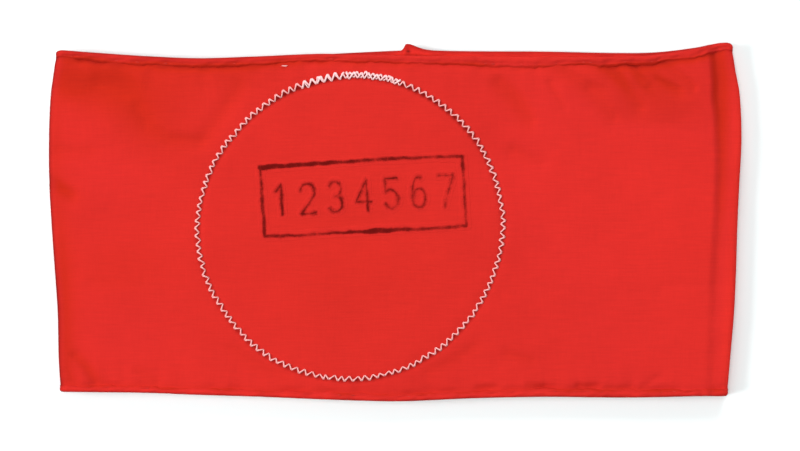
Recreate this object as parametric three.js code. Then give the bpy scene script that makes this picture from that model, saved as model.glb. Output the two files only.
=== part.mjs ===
// A cloth armband: one strip of plain-woven cotton joined into a loop by a seam and hemmed along both
// edges. It lies flat on a table with its arm opening running along Y, so it reads as two layers between
// two folds: the front layer on top, the back layer underneath with the seam. Sizes are in millimetres.
// X runs from fold to fold, Y from the lower hem to the upper hem, and Z up from the table.
import * as THREE from "three";

const CLOTH = 1.0; // wall of the band
const HEM = 1.3; // wall of a turned hem
const HEM_PROUD = 0.15; // how far the front of a hem stands above the band
const HEM_DEPTH = 2.4; // a hem, measured across the band
const HEM_SHOULDER = 0.45; // how much of that is rounded off at the turned edge
const GAP = 0.3; // between neighbouring pieces
const HEIGHT = 7.2; // the loop's height at its two folds
const MIDDLE_SAG = 0.3; // how much lower the front layer lies between the folds
const HALF_WIDTH = 103.8; // from the middle to a fold at its widest
const BOW_REACH = 6; // how fast the bow of a fold line dies away towards the middle, as a power
const HEM_LINE = 51; // where the folds are read off for the hems, up and down from the middle

const SEAM = { x: 2.6, width: 9 };
// The seam's end, a small ear on the back layer's upper edge: steep on its left, falling off to its right.
const EAR = { x: 3.8, height: 2, rise: 0.9, decay: 4.2, left: 4, right: 8 };
const CREASE = { fromFold: 7, deep: 1.0, shallow: 0.6, sharpSide: 1.5, softSide: 2.6 };
const RUFFLE = { height: 0.18, step: 4.4, upperReach: 8, lowerReach: 5 };

// The two fold lines, bowed outwards because the hems are tighter than the cloth between them.
const FOLDS = [
  { y: -54, left: -100.2, right: 99.4 },
  { y: -40, left: -100.9, right: 100.5 },
  { y: -27, left: -101.2, right: 101.6 },
  { y: -14, left: -102.1, right: 102.2 },
  { y: -1, left: -103.0, right: 102.6 },
  { y: 12, left: -103.7, right: 103.2 },
  { y: 25, left: -103.8, right: 103.8 },
  { y: 38, left: -103.3, right: 103.3 },
  { y: 46, left: -102.2, right: 101.9 },
  { y: 54, left: -101.0, right: 100.8 },
];

// The front layer's two cut edges, and how much higher the back layer lies.
const EDGES = [
  { x: -101, top: 51.5, bottom: -50.9, backRise: 0 },
  { x: -89, top: 50.6, bottom: -51.0, backRise: 0 },
  { x: -74, top: 49.6, bottom: -51.2, backRise: 0 },
  { x: -59, top: 49.0, bottom: -51.8, backRise: 0 },
  { x: -42, top: 49.5, bottom: -52.3, backRise: 0 },
  { x: -23, top: 50.3, bottom: -53.1, backRise: 0 },
  { x: -8, top: 50.0, bottom: -53.6, backRise: 1.0 },
  { x: 3, top: 49.8, bottom: -53.7, backRise: 1.6 },
  { x: 24, top: 49.5, bottom: -52.8, backRise: 1.7 },
  { x: 45, top: 49.4, bottom: -52.4, backRise: 1.7 },
  { x: 66, top: 49.4, bottom: -52.6, backRise: 1.3 },
  { x: 78, top: 50.0, bottom: -52.5, backRise: 0.9 },
  { x: 90, top: 51.9, bottom: -52.2, backRise: 0.4 },
  { x: 97, top: 53.5, bottom: -52.2, backRise: 0.1 },
  { x: 102, top: 53.7, bottom: -52.2, backRise: 0 },
];

// The main dents of the front layer: long soft troughs, each with its half length, half width, turn from
// the X axis in degrees, and depth.
const DENTS = [
  { x: -91, y: 41, long: 11, wide: 3.6, turn: -18, depth: 1.1 },
  { x: -69, y: 31, long: 14, wide: 5.0, turn: -32, depth: 0.4 },
  { x: -99, y: 11, long: 4, wide: 2.6, turn: -30, depth: 1.0 },
  { x: -85, y: -14, long: 7, wide: 4.5, turn: 0, depth: 0.35 },
  { x: -94, y: -44, long: 6, wide: 2.8, turn: -50, depth: 0.8 },
  { x: 38, y: 28, long: 14, wide: 4.0, turn: -60, depth: 0.4 },
  { x: 57, y: 41, long: 7, wide: 3.5, turn: -48, depth: 0.35 },
  { x: 74, y: 40, long: 7, wide: 3.0, turn: -50, depth: 0.35 },
  { x: 80, y: 31, long: 15, wide: 6.0, turn: -8, depth: 0.4 },
  { x: 49, y: -44, long: 13, wide: 4.0, turn: 4, depth: 0.3 },
];

const FLAT_WIDTH = 2 * HALF_WIDTH - HEIGHT; // between the two rounded folds

const FRONT_STATIONS = 38;
const CREASE_STATIONS = [1.6, 3.3, 4.7, 6.5]; // beside the crease, from where the right fold begins
const CREASE_CLEAR = 0.95; // the even stations stop here, as a share of the front layer's width
const BACK_STATIONS = 9; // on each side of the seam
const FOLD_STEPS = 6;
const BAND_ROWS = 20;
const EAR_STATIONS = [-2.4, -1.1, 0, 0.8, 1.9, 3.6, 5.8]; // distances from the ear's peak, along X

const RED_COTTON = new THREE.MeshStandardMaterial({ color: "#dd312a", roughness: 0.86, metalness: 0 });
const HEM_COTTON = new THREE.MeshStandardMaterial({ color: "#d52d26", roughness: 0.88, metalness: 0 });
const SEAM_COTTON = new THREE.MeshStandardMaterial({ color: "#cf2a24", roughness: 0.88, metalness: 0 });

// One column of a table at a place between its rows, on a smooth curve through them.
function read(table, key, column, place) {
  const last = table.length - 1;
  const at = THREE.MathUtils.clamp(place, table[0][key], table[last][key]);
  let i = 0;
  while (i < last - 1 && at > table[i + 1][key]) i += 1;
  const slope = (j) => {
    const before = table[Math.max(j - 1, 0)];
    const after = table[Math.min(j + 1, last)];
    return (after[column] - before[column]) / (after[key] - before[key]);
  };
  const span = table[i + 1][key] - table[i][key];
  const t = (at - table[i][key]) / span;
  const [low, high] = [table[i][column], table[i + 1][column]];
  const bend = t * (1 - t) * span * ((1 - t) * slope(i) - t * slope(i + 1));
  return low + (high - low) * t * t * (3 - 2 * t) + bend;
}

function trough(dent, x, y) {
  const turn = THREE.MathUtils.degToRad(dent.turn);
  const [dx, dy] = [x - dent.x, y - dent.y];
  const along = (dx * Math.cos(turn) + dy * Math.sin(turn)) / dent.long;
  const across = (dy * Math.cos(turn) - dx * Math.sin(turn)) / dent.wide;
  return dent.depth * Math.exp(-along * along - across * across);
}

// The pressed crease beside the right fold: steep towards the middle, soft towards the fold.
function crease(x, y) {
  const off = x - (read(FOLDS, "y", "right", y) - CREASE.fromFold);
  const wide = off < 0 ? CREASE.sharpSide : CREASE.softSide;
  const depth = THREE.MathUtils.mapLinear(y, -HEM_LINE, HEM_LINE, CREASE.shallow, CREASE.deep);
  return depth * Math.exp(-((off / wide) ** 2));
}

// The small waves where the cloth is gathered into its hems.
function ruffle(x, y) {
  const upper = Math.exp(-Math.max(HEM_LINE - y, 0) / RUFFLE.upperReach);
  const lower = Math.exp(-Math.max(HEM_LINE + y, 0) / RUFFLE.lowerReach);
  return RUFFLE.height * (upper * Math.sin(x / RUFFLE.step) + lower * Math.cos(x / RUFFLE.step));
}

// How far the front layer lies below the height of its folds.
function fall(x, y) {
  const sag = MIDDLE_SAG * (1 - Math.min(Math.abs(x) / HALF_WIDTH, 1) ** 4);
  const dents = DENTS.reduce((sum, dent) => sum + trough(dent, x, y), 0);
  return sag + dents + crease(x, y) + ruffle(x, y);
}

// A point of a wall: the station says where round the loop, y where across the band, and depth how far in
// from the outer face. A station's share counts from the left fold to the right one, and its lift is 0 on
// the back layer and 1 on the front.
function wallPoint(station, y, depth) {
  const radius = HEIGHT / 2;
  const leftBow = read(FOLDS, "y", "left", y) + HALF_WIDTH;
  const rightBow = read(FOLDS, "y", "right", y) - HALF_WIDTH;
  const bow = leftBow * (1 - station.share) ** BOW_REACH + rightBow * station.share ** BOW_REACH;
  const middle = (station.share - 0.5) * FLAT_WIDTH + bow;
  const outX = Math.cos(station.angle) * station.side;
  const outZ = Math.sin(station.angle);
  const z = radius + (radius - depth) * outZ;
  const drop = station.lift * fall(middle + radius * outX, y);
  return [middle + (radius - depth) * outX, y, z - drop];
}

function flatStation(share, up) {
  return { share, side: 0, angle: up ? Math.PI / 2 : -Math.PI / 2, lift: up ? 1 : 0 };
}

// The inner stations of a fold, from the back layer up to the front.
function foldStations(side) {
  return Array.from({ length: FOLD_STEPS - 1 }, (_, i) => {
    const angle = Math.PI * ((i + 1) / FOLD_STEPS - 0.5);
    return { share: side > 0 ? 1 : 0, side, angle, lift: (1 + Math.sin(angle)) / 2 };
  });
}

function spread(from, to, count) {
  return Array.from({ length: count }, (_, i) => from + ((to - from) * i) / (count - 1));
}

function shareOf(x) {
  return 0.5 + x / FLAT_WIDTH;
}

// The stations from the seam round the right fold, over the front and round the left fold to the seam.
function roundTheLoop(fromX, toX) {
  const besideCrease = CREASE_STATIONS.map((distance) => 1 - distance / FLAT_WIDTH);
  const front = [1, ...besideCrease, ...spread(CREASE_CLEAR, 0, FRONT_STATIONS)];
  return [
    ...spread(shareOf(fromX), 1, BACK_STATIONS).map((share) => flatStation(share, false)),
    ...foldStations(1),
    ...front.map((share) => flatStation(share, true)),
    ...foldStations(-1).reverse(),
    ...spread(0, shareOf(toX), BACK_STATIONS).map((share) => flatStation(share, false)),
  ];
}

// Where the cloth's edge runs at a station: up is 1 for the upper edge and -1 for the lower one.
function edgeY(station, up) {
  const [x] = wallPoint(station, up * HEM_LINE, 0);
  const edge = read(EDGES, "x", up > 0 ? "top" : "bottom", x);
  return edge + (1 - station.lift) * read(EDGES, "x", "backRise", x);
}

function ear(station) {
  const off = wallPoint(station, HEM_LINE, 0)[0] - EAR.x;
  const wide = off < 0 ? EAR.rise : EAR.decay;
  return (1 - station.lift) * EAR.height * Math.exp(-((off / wide) ** 2));
}

// Joins rows of points into one closed body. Each row is the outline of a section, and the sections either
// run round to the first again or end in flat caps.
function loft(sections, ring) {
  const sides = sections[0].length;
  const count = sections.length;
  const index = [];
  for (let i = 0; i < (ring ? count : count - 1); i += 1) {
    for (let j = 0; j < sides; j += 1) {
      const [a, b] = [i * sides + j, i * sides + ((j + 1) % sides)];
      const [c, d] = [((i + 1) % count) * sides + j, ((i + 1) % count) * sides + ((j + 1) % sides)];
      index.push(a, b, d, a, d, c);
    }
  }
  return { positions: sections.flat(2), index, sides, count };
}

// A cap between the outer half of a section and its inner half, which run in opposite directions.
function closeWall(body, section, facesBack) {
  for (let j = 0; j < body.sides / 2 - 1; j += 1) {
    const first = section * body.sides;
    const [a, b] = [first + j, first + j + 1];
    const [c, d] = [first + body.sides - 1 - j, first + body.sides - 2 - j];
    const quad = facesBack ? [a, c, b, b, c, d] : [a, b, c, b, d, c];
    body.index.push(...quad);
  }
}

function meshOf(name, body, material) {
  const geometry = new THREE.BufferGeometry();
  geometry.setAttribute("position", new THREE.Float32BufferAttribute(body.positions, 3));
  geometry.setIndex(body.index);
  geometry.computeVertexNormals();
  const mesh = new THREE.Mesh(geometry, material);
  mesh.name = name;
  return mesh;
}

// The strip itself, from one side of the seam right round to the other.
function band() {
  const half = SEAM.width / 2;
  const stations = roundTheLoop(SEAM.x + half, SEAM.x - half);
  const sections = stations.map((station) => {
    const low = edgeY(station, -1) + HEM_DEPTH + GAP;
    const high = edgeY(station, 1) - HEM_DEPTH - GAP;
    const rows = spread(low, high, BAND_ROWS);
    const outer = rows.map((y) => wallPoint(station, y, 0));
    const inner = rows.map((y) => wallPoint(station, y, CLOTH));
    return [...outer, ...inner.reverse()];
  });
  const body = loft(sections, false);
  closeWall(body, 0, true);
  closeWall(body, sections.length - 1, false);
  return meshOf("band", body, RED_COTTON);
}

// A hem: a closed ring of turned cloth with a rounded outer edge.
function hem(name, up) {
  const stations = [
    ...roundTheLoop(EAR.x + EAR.right, EAR.x - EAR.left),
    ...EAR_STATIONS.map((distance) => flatStation(shareOf(EAR.x + distance), false)),
  ];
  const sections = stations.map((station) => {
    const edge = edgeY(station, up) + (up > 0 ? ear(station) : 0);
    const inside = edgeY(station, up) - up * HEM_DEPTH;
    const shoulder = edge - up * HEM_SHOULDER;
    const outerFace = -HEM_PROUD * station.lift;
    const innerFace = outerFace + HEM;
    const outline = [
      wallPoint(station, inside, outerFace),
      wallPoint(station, shoulder, outerFace),
      wallPoint(station, edge, outerFace + HEM / 2),
      wallPoint(station, shoulder, innerFace),
      wallPoint(station, inside, innerFace),
    ];
    return up > 0 ? outline : outline.reverse();
  });
  return meshOf(name, loft(sections, true), HEM_COTTON);
}

// The joined ends of the strip, pressed flat into the back layer from hem to hem.
function backSeam() {
  const half = SEAM.width / 2 - GAP;
  const sections = [SEAM.x - half, SEAM.x + half].map((x) => {
    const station = flatStation(shareOf(x), false);
    const low = edgeY(station, -1) + HEM_DEPTH + GAP;
    const high = edgeY(station, 1) - HEM_DEPTH - GAP;
    return [
      wallPoint(station, low, 0),
      wallPoint(station, high, 0),
      wallPoint(station, high, HEM),
      wallPoint(station, low, HEM),
    ];
  });
  const body = loft(sections, false);
  closeWall(body, 0, true);
  closeWall(body, 1, false);
  return meshOf("back_seam", body, SEAM_COTTON);
}

const armband = new THREE.Group();
armband.add(band(), hem("upper_hem", 1), hem("lower_hem", -1), backSeam());

export default armband;
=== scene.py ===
# A cloth armband lying flat, seen from straight above: a strip of red plain-woven cotton with its reverse
# side out, joined into a loop by a seam at the back and hemmed along both edges. On its front are a ring of
# white zigzag stitching and a faded ink frame with plain numbers in it.
# Sizes are in millimetres, and a piece is turned into metres when its mesh is made. X runs from fold to
# fold, Y from the lower hem to the upper hem, and Z up from the table.
import math
from collections import namedtuple

import bpy
import numpy as np
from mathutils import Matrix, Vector


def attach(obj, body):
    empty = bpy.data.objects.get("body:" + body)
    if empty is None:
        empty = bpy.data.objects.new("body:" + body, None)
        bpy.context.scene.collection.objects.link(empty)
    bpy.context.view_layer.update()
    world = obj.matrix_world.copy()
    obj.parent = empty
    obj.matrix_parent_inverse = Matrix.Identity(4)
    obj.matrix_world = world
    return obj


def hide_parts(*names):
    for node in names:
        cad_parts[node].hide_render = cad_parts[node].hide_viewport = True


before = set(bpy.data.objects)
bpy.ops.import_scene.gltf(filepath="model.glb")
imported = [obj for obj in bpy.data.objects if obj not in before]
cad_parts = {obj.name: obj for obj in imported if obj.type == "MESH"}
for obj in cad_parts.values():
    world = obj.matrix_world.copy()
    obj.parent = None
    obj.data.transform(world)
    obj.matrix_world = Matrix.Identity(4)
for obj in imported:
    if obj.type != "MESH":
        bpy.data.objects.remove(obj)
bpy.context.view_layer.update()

MM = 0.001

# The loop, with the same names and sizes as the part's source
HEIGHT = 7.2
MIDDLE_SAG = 0.3
SAG_POWER = 4
HALF_WIDTH = 103.8
BOW_REACH = 6
HEM_LINE = 51.0
SEAM_X = 2.6
SEAM_WIDTH = 9
EAR_X = 3.8
EAR_HEIGHT = 2
CREASE_FLANK = 2.9
CREASE_TAIL = 4.2

RADIUS = HEIGHT / 2
FLAT_WIDTH = 2 * HALF_WIDTH - HEIGHT
FOLD_ARC = math.pi * RADIUS
LOOP = 2 * FLAT_WIDTH + 2 * FOLD_ARC

# The folds are pressed, so their section is fuller than a half circle: 2 would be round, more is squarer.
FOLD_FULLNESS = 4.0
FOLD_POINTS = 1441

# The cloth's thickness, how far the band runs in under a hem, and the spacing of its threads.
CLOTH = 0.45
TUCK = 0.6
THREAD_PITCH = 0.34


def table(columns, rows):
    """Rows of values whose columns have names."""
    row = namedtuple("Row", columns)
    return [row(*values) for values in rows]


# The two fold lines, bowed outwards because the hems are tighter than the cloth between them.
FOLDS = table("y left right", [
    (-54, -100.2, 99.4),
    (-40, -100.9, 100.5),
    (-27, -101.2, 101.6),
    (-14, -102.1, 102.2),
    (-1, -103.0, 102.6),
    (12, -103.7, 103.2),
    (25, -103.8, 103.8),
    (38, -103.3, 103.3),
    (46, -102.2, 101.9),
    (54, -101.0, 100.8),
])

# The front layer's two turned edges, and how much higher the back layer lies.
EDGES = table("x top bottom back_rise", [
    (-101, 51.5, -50.9, 0),
    (-89, 50.6, -51.0, 0),
    (-74, 49.6, -51.2, 0),
    (-59, 49.0, -51.8, 0),
    (-42, 49.5, -52.3, 0),
    (-23, 50.3, -53.1, 0),
    (-8, 50.0, -53.6, 1.0),
    (3, 49.8, -53.7, 1.6),
    (24, 49.5, -52.8, 1.7),
    (45, 49.4, -52.4, 1.7),
    (66, 49.4, -52.6, 1.3),
    (78, 50.0, -52.5, 0.9),
    (90, 51.9, -52.2, 0.4),
    (97, 53.5, -52.2, 0.1),
    (102, 53.7, -52.2, 0),
])

# How wide each hem is turned, uneven as a hand-guided machine leaves it, and how much painted shade
# darkens the red in the groove beside the upper one.
TURNS = table("x upper lower soil", [
    (-101, 2.1, 2.0, 0.20),
    (-93, 2.2, 1.9, 0.26),
    (-87, 2.8, 2.1, 0.16),
    (-70, 2.6, 1.9, 0.18),
    (-50, 2.6, 2.2, 0.18),
    (-38, 2.6, 2.0, 0.14),
    (-29, 2.2, 2.1, 0.12),
    (-15, 2.3, 2.3, 0.08),
    (0, 2.4, 2.1, 0.05),
    (20, 2.6, 2.3, 0.03),
    (32, 3.1, 2.1, 0.04),
    (46, 3.1, 2.4, 0.05),
    (52, 2.4, 2.2, 0.03),
    (58, 2.3, 2.5, 0.02),
    (62, 3.0, 2.3, 0.10),
    (68, 2.2, 2.6, 0.25),
    (76, 2.6, 2.1, 0.26),
    (81, 2.1, 2.3, 0.20),
    (88, 2.9, 2.0, 0.17),
    (93, 2.6, 2.2, 0.16),
    (98, 2.3, 2.1, 0.10),
])

# Broad dents of the front layer, each with its half length, half width, turn from X in degrees, and depth.
DENTS = table("x y long wide turn depth", [
    (-69, 33, 12, 5.0, -32, 0.25),
    (-85, -14, 9, 3.0, -14, 0.3),
    (80, 31, 15, 6.0, -8, 0.3),
    (49, -44, 13, 4.0, 4, 0.25),
    (17, 43, 3, 6.0, 0, 0.15),
])

# Narrower folds and puckers, each along a short path, with the widths of its two flanks as seen when
# following the path. A negative depth is a ridge.
WRINKLES = table("path depth left right", [
    ([(-99.5, 42.4), (-92.0, 39.8), (-82.5, 40.6)], 0.80, 4.0, 6.0),
    ([(-88.0, 40.6), (-80.5, 36.2), (-75.0, 31.0)], 0.45, 4.0, 6.5),
    ([(-76.9, 34.2), (-73.6, 28.5), (-68.2, 24.9), (-58.6, 24.0)], 0.50, 1.9, 2.2),
    ([(-56.8, 25.2), (-51.5, 32.5), (-46.6, 40.8)], 0.36, 2.6, 2.6),
    ([(-101.0, 21.6), (-91.0, 21.0)], 0.26, 1.8, 2.4),
    ([(-104.0, 12.6), (-97.0, 8.0)], 0.60, 1.8, 2.2),
    ([(-90.4, -18.0), (-76.0, -18.6)], 0.16, 1.8, 1.6),
    ([(-95.8, -40.0), (-92.4, -43.4), (-89.6, -47.8)], 0.40, 1.5, 1.4),
    ([(-98.4, -44.0), (-95.2, -48.0)], 0.22, 1.1, 1.1),
    ([(-77.2, -44.5), (-71.2, -48.0)], 0.24, 1.4, 1.4),
    ([(31.4, 41.6), (36.8, 37.1), (40.6, 30.6)], 0.50, 1.8, 3.0),
    ([(35.6, 21.4), (44.0, 17.6)], 0.34, 1.8, 2.4),
    ([(46.4, 41.6), (50.6, 34.6)], 0.26, 1.0, 1.3),
    ([(51.0, 44.6), (56.0, 41.6), (62.0, 39.6)], 0.42, 1.5, 2.8),
    ([(58.4, 39.5), (65.6, 31.6)], 0.40, 1.6, 2.4),
    ([(63.6, 47.0), (69.0, 41.0), (73.4, 35.0)], 0.55, 1.5, 2.6),
    ([(71.4, 47.6), (76.6, 42.6), (84.6, 39.6)], 0.60, 1.4, 2.6),
    ([(69.0, 47.2), (75.0, 41.4)], -0.30, 1.0, 1.0),
    ([(80.4, 47.4), (85.2, 44.0), (89.4, 40.4)], 0.44, 1.1, 1.8),
    ([(65.6, 31.0), (79.4, 30.2), (93.0, 27.8)], 0.22, 6.0, 2.6),
    ([(80.0, -18.9), (100.0, -18.6)], 0.10, 0.7, 0.9),
    ([(71.0, -21.0), (79.4, -21.0)], 0.10, 0.9, 1.1),
    ([(33.8, -39.6), (41.0, -41.6)], 0.28, 1.5, 1.8),
    ([(25.0, -49.6), (30.0, -49.4)], 0.25, 0.9, 0.9),
    ([(40.0, -48.8), (44.4, -49.4)], 0.35, 1.0, 0.9),
    ([(55.0, -49.0), (60.6, -49.2)], 0.40, 1.0, 0.8),
    ([(64.0, -50.0), (73.0, -50.2), (78.4, -46.6)], 0.26, 1.2, 1.5),
    ([(-48.2, -38.0), (-41.0, -43.0), (-33.0, -46.6)], 0.20, 1.8, 2.2),
    ([(10.4, -44.6), (17.6, -41.4), (24.2, -37.0)], 0.20, 1.8, 2.2),
])

# The crease pressed in beside the right fold: where it runs, how deep it is, and how much painted shade
# darkens the cloth in it.
CREASE = table("y x depth wear", [
    (-54, 94.1, 0.32, 0.04),
    (-41, 94.0, 0.36, 0.05),
    (-29, 94.7, 0.36, 0.05),
    (-17, 94.9, 0.56, 0.08),
    (-5, 95.5, 0.58, 0.09),
    (7, 96.1, 0.74, 0.14),
    (19, 96.3, 0.80, 0.16),
    (31, 96.1, 0.95, 0.18),
    (40, 95.3, 1.32, 0.21),
    (48, 94.8, 1.28, 0.19),
    (54, 94.6, 0.90, 0.14),
])
CREASE_TAIL_POWER = 1.5

# Where the front layer is pinched in beside a hem, for the upper one (up is 1) and the lower one (-1).
PINCHES = table("up x wide depth", [
    (1, -93.4, 1.6, 0.55),
    (1, -56.5, 7.5, 0.30),
    (1, 31.0, 5.0, 0.20),
    (1, 65.5, 3.0, 0.50),
    (1, 71.0, 3.2, 0.75),
    (1, 77.0, 2.4, 0.50),
    (-1, 44.8, 3.4, 0.45),
    (-1, 57.4, 3.6, 0.45),
    (-1, 78.2, 3.2, 0.45),
])

# Painted patches where the red is deeper (a change below 0) or paler: painted shade and painted light
# that stand for the shading of the folds, the broad unevenness and the wrinkles, with each place's half
# length, half width and turn from X in degrees.
PAINTED_PATCHES = table("x y long wide turn change", [
    (-102.6, -30, 26, 4.8, 90, -0.27),
    (-103.8, 20, 22, 2.6, 90, -0.13),
    (104.0, 24, 26, 3.0, 90, 0.22),
    (101.6, -32, 26, 3.4, 90, 0.14),
    (99.8, -43, 11, 1.7, 90, 0.14),
    (92, -8, 30, 60, 0, 0.08),
    (52, 14, 20, 28, 0, 0.045),
    (-70, 26, 14, 12, 0, -0.03),
    (-14, -12, 30, 30, 0, -0.025),
    (88, 40, 12, 9, 0, -0.035),
    (-92.2, -43.6, 6, 1.5, -50, -0.06),
    (66.5, 43.5, 5.5, 1.6, -52, -0.10),
    (69.8, 44.6, 3.5, 1.2, -50, 0.06),
    (72.0, 43.5, 7.0, 1.7, -46, -0.09),
    (75.5, 45.0, 4.0, 1.2, -44, 0.06),
    (79.0, 43.0, 7.0, 1.6, -34, -0.07),
    (-84, 14, 14, 9, 0, 0.03),
    (-80, -13, 16, 7, 0, -0.03),
    (-80, -34, 16, 9, 0, 0.02),
    (-84, 44, 24, 9, -6, -0.09),
    (-76, 34, 16, 8, -34, -0.03),
    (-50, 46, 16, 7, 0, -0.05),
    (-99.5, 10.0, 5.0, 2.0, -33, -0.09),
    (-97.0, 41.0, 5.0, 4.0, 0, -0.07),
    (66, 47, 18, 5, 0, -0.06),
    (76, 38, 17, 9, -10, -0.06),
    (36, 36, 9, 3.4, -52, -0.03),
])

# Painted shade in the wrinkles' valleys: how much deeper it makes the red, and the depth in millimetres
# at which it nears that.
VALLEY_SHADE = 0.05
VALLEY_SHADE_DEPTH = 0.5

# Where the red is painted deeper, mostly as painted shade, it loses more of its blue: how many times as
# much, and its bounds.
BLUE_LOSS = 3.8
BLUE_LEAST = 0.48
BLUE_MOST = 1.10

# Painted shade and light along the folds: painted shade on the left one's outermost line, and painted
# light on the right one's shoulder. FOLD_FLAT is how far out, as a share, a fold still counts as flat.
FOLD_RIM_SHADE_LEFT = -0.46
FOLD_RIM_REACH = 0.75
FOLD_SHOULDER_LIGHT_RIGHT = 0.18
FOLD_SHOULDER_IN = 0.7
FOLD_SHOULDER_REACH = 0.6
FOLD_FLAT = 0.9

# How far the back layer's upper edge stands off the floor where it shows past the front layer's.
BACK_EDGE_RISE = 2.2
BACK_EDGE_REACH = 22

# How many rounds it takes to find the place on the front layer that has a given X
FRONT_ROUNDS = 3

# Smooth random unevenness: how high it is, about how long from crest to crest, and its seed.
Waves = namedtuple("Waves", "height length seed")
UNDULATION = Waves(0.20, 34, 11)
SOFT_WAVES = Waves(0.05, 11, 12)
FINE_WAVES = Waves(0.012, 4.0, 13)
PUCKERS = Waves(0.16, 6.0, 14)
GROOVE_UNEVEN = Waves(0.18, 9, 15)
BACK_LIFT = Waves(0.12, 30, 16)
CREASE_WANDER = [Waves(0.15, 22, 21), Waves(0.08, 7, 22)]
HEM_WOBBLE = [Waves(0.10, 2.6, 31), Waves(0.08, 7, 34)]
HEM_MOTTLE = Waves(0.05, 12, 37)
GROOVE_SHADE_MOTTLE = Waves(0.4, 8, 39)
HEM_UNEVEN = Waves(0.09, 3.0, 41)
SEAM_WANDER = Waves(0.12, 14, 71)
RIPPLE_COUNT = 22
RIPPLE_LENGTHS = (0.7, 1.7)

# The groove beside a hem and the puckers that run out of it
GROOVE_DEPTH = 0.23
GROOVE_LEAST = 0.06
GROOVE_REACH = 1.25
PUCKER_START = 1.5
PUCKER_REACH = 4.5
PUCKER_DRAWN = 0.25

# The ring of zigzag stitches: its middle, and by the angle clockwise from the top its radius, how far it
# swings to both sides, and how much painted shade darkens the cloth beside it, standing for the stitches'
# shadow on the cloth that they draw in.
RING_X = -13.6
RING_Y = -1.4
RING_STITCHES = 123
RING = table("angle radius swing dark", [
    (0, 45.2, 0.95, 0.56),
    (12, 45.65, 0.90, 0.64),
    (28, 45.6, 0.72, 0.64),
    (42, 45.75, 0.72, 0.62),
    (66, 45.9, 0.72, 0.46),
    (78, 45.65, 0.72, 0.42),
    (90, 45.85, 0.72, 0.34),
    (104, 45.4, 0.72, 0.31),
    (120, 45.03, 0.72, 0.27),
    (140, 45.2, 0.71, 0.25),
    (160, 45.4, 0.70, 0.30),
    (174, 45.65, 0.70, 0.38),
    (188, 45.55, 0.71, 0.36),
    (205, 45.7, 0.72, 0.30),
    (222, 45.6, 0.72, 0.29),
    (238, 45.25, 0.72, 0.28),
    (260, 45.75, 0.72, 0.28),
    (274, 45.5, 0.72, 0.32),
    (290, 44.95, 0.72, 0.33),
    (304, 44.45, 0.74, 0.32),
    (318, 44.2, 0.79, 0.35),
    (334, 44.45, 0.88, 0.50),
    (348, 44.75, 1.03, 0.62),
    (360, 45.2, 0.95, 0.56),
])

# The cloth that the stitches draw in, its swell on both sides, and how much calmer it is inside the ring
PULL_DEPTH = 0.13
PULL_REACH = 1.2
SWELL_HEIGHT = 0.05
SWELL_OFF = 3.2
SWELL_REACH = 2.0
RING_CALM = 0.55
CALM_EDGE = 2

# The painted shade between the stitches, mostly below them where they shadow the cloth: where its middle is,
# its strength, and how that changes from one to the next
DARK_OUT = 0.05
DARK_DOWN = 0.45
DARK_LEVEL = 1.06
DARK_SPOTS = 0.65
DARK_MOST = 0.8
DARK_REACH = 1.15


def smooth_step(share):
    share = np.clip(share, 0, 1)
    return share * share * (3 - 2 * share)


def grown(place, start, span):
    """0 up to the start, growing smoothly to 1 over the span."""
    return smooth_step((place - start) / span)


def bell(off, reach, power=2):
    """1 at 0, falling to about a third at one reach."""
    return np.exp(-((off / reach) ** power))


def kept(least, share):
    """From a least part of a form, at share 0, to the whole of it at 1."""
    return least + (1 - least) * share


def off_stretch(start, end, x, y):
    """How places lie off a straight stretch: the share of it that is nearest, how far off they are, and how
    far to its left."""
    run_x = end[0] - start[0]
    run_y = end[1] - start[1]
    length = math.hypot(run_x, run_y)
    share = np.clip(((x - start[0]) * run_x + (y - start[1]) * run_y) / length**2, 0, 1)
    off_x = x - start[0] - share * run_x
    off_y = y - start[1] - share * run_y
    return share, np.hypot(off_x, off_y), (run_x * off_y - run_y * off_x) / length


def read(rows, column, place):
    """One column of a table at places of its first column, on a smooth curve through the rows."""
    keys = np.array([row[0] for row in rows], float)
    values = np.array([getattr(row, column) for row in rows], float)
    last = len(rows) - 1
    here = np.arange(len(rows))
    before = np.maximum(here - 1, 0)
    after = np.minimum(here + 1, last)
    slopes = (values[after] - values[before]) / (keys[after] - keys[before])
    at = np.clip(place, keys[0], keys[-1])
    i = np.clip(np.searchsorted(keys, at) - 1, 0, last - 1)
    span = keys[i + 1] - keys[i]
    t = (at - keys[i]) / span
    bend = t * (1 - t) * span * ((1 - t) * slopes[i] - t * slopes[i + 1])
    return values[i] + (values[i + 1] - values[i]) * smooth_step(t) + bend


def back_rise(x):
    return read(EDGES, "back_rise", x)


def ring_value(column, degrees):
    return read(RING, column, np.mod(degrees, 360))


def ripples(x, y, length, seed):
    """Smooth random hills about one length from crest to crest, most of them between -1 and 1."""
    chance = np.random.default_rng(seed)
    total = np.zeros(np.broadcast(x, y).shape)
    for _ in range(RIPPLE_COUNT):
        heading = chance.uniform(0, 2 * math.pi)
        wave = length * chance.uniform(*RIPPLE_LENGTHS)
        phase = chance.uniform(0, 2 * math.pi)
        along = x * math.cos(heading) + y * math.sin(heading)
        total = total + np.sin(2 * math.pi * along / wave + phase)
    return total / math.sqrt(RIPPLE_COUNT)


def waves(x, y, kind, shift=0):
    return kind.height * ripples(x, y, kind.length, kind.seed + shift)


def waves_along(x, kind, shift=0):
    return waves(x, 0 * x, kind, shift)


# The form of the front layer

def oval(place, x, y):
    """1 in the middle of a dent or painted patch, falling off along its length and its width."""
    turn = math.radians(place.turn)
    dx = x - place.x
    dy = y - place.y
    along = (dx * math.cos(turn) + dy * math.sin(turn)) / place.long
    aside = (dy * math.cos(turn) - dx * math.sin(turn)) / place.wide
    return np.exp(-along**2 - aside**2)


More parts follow.
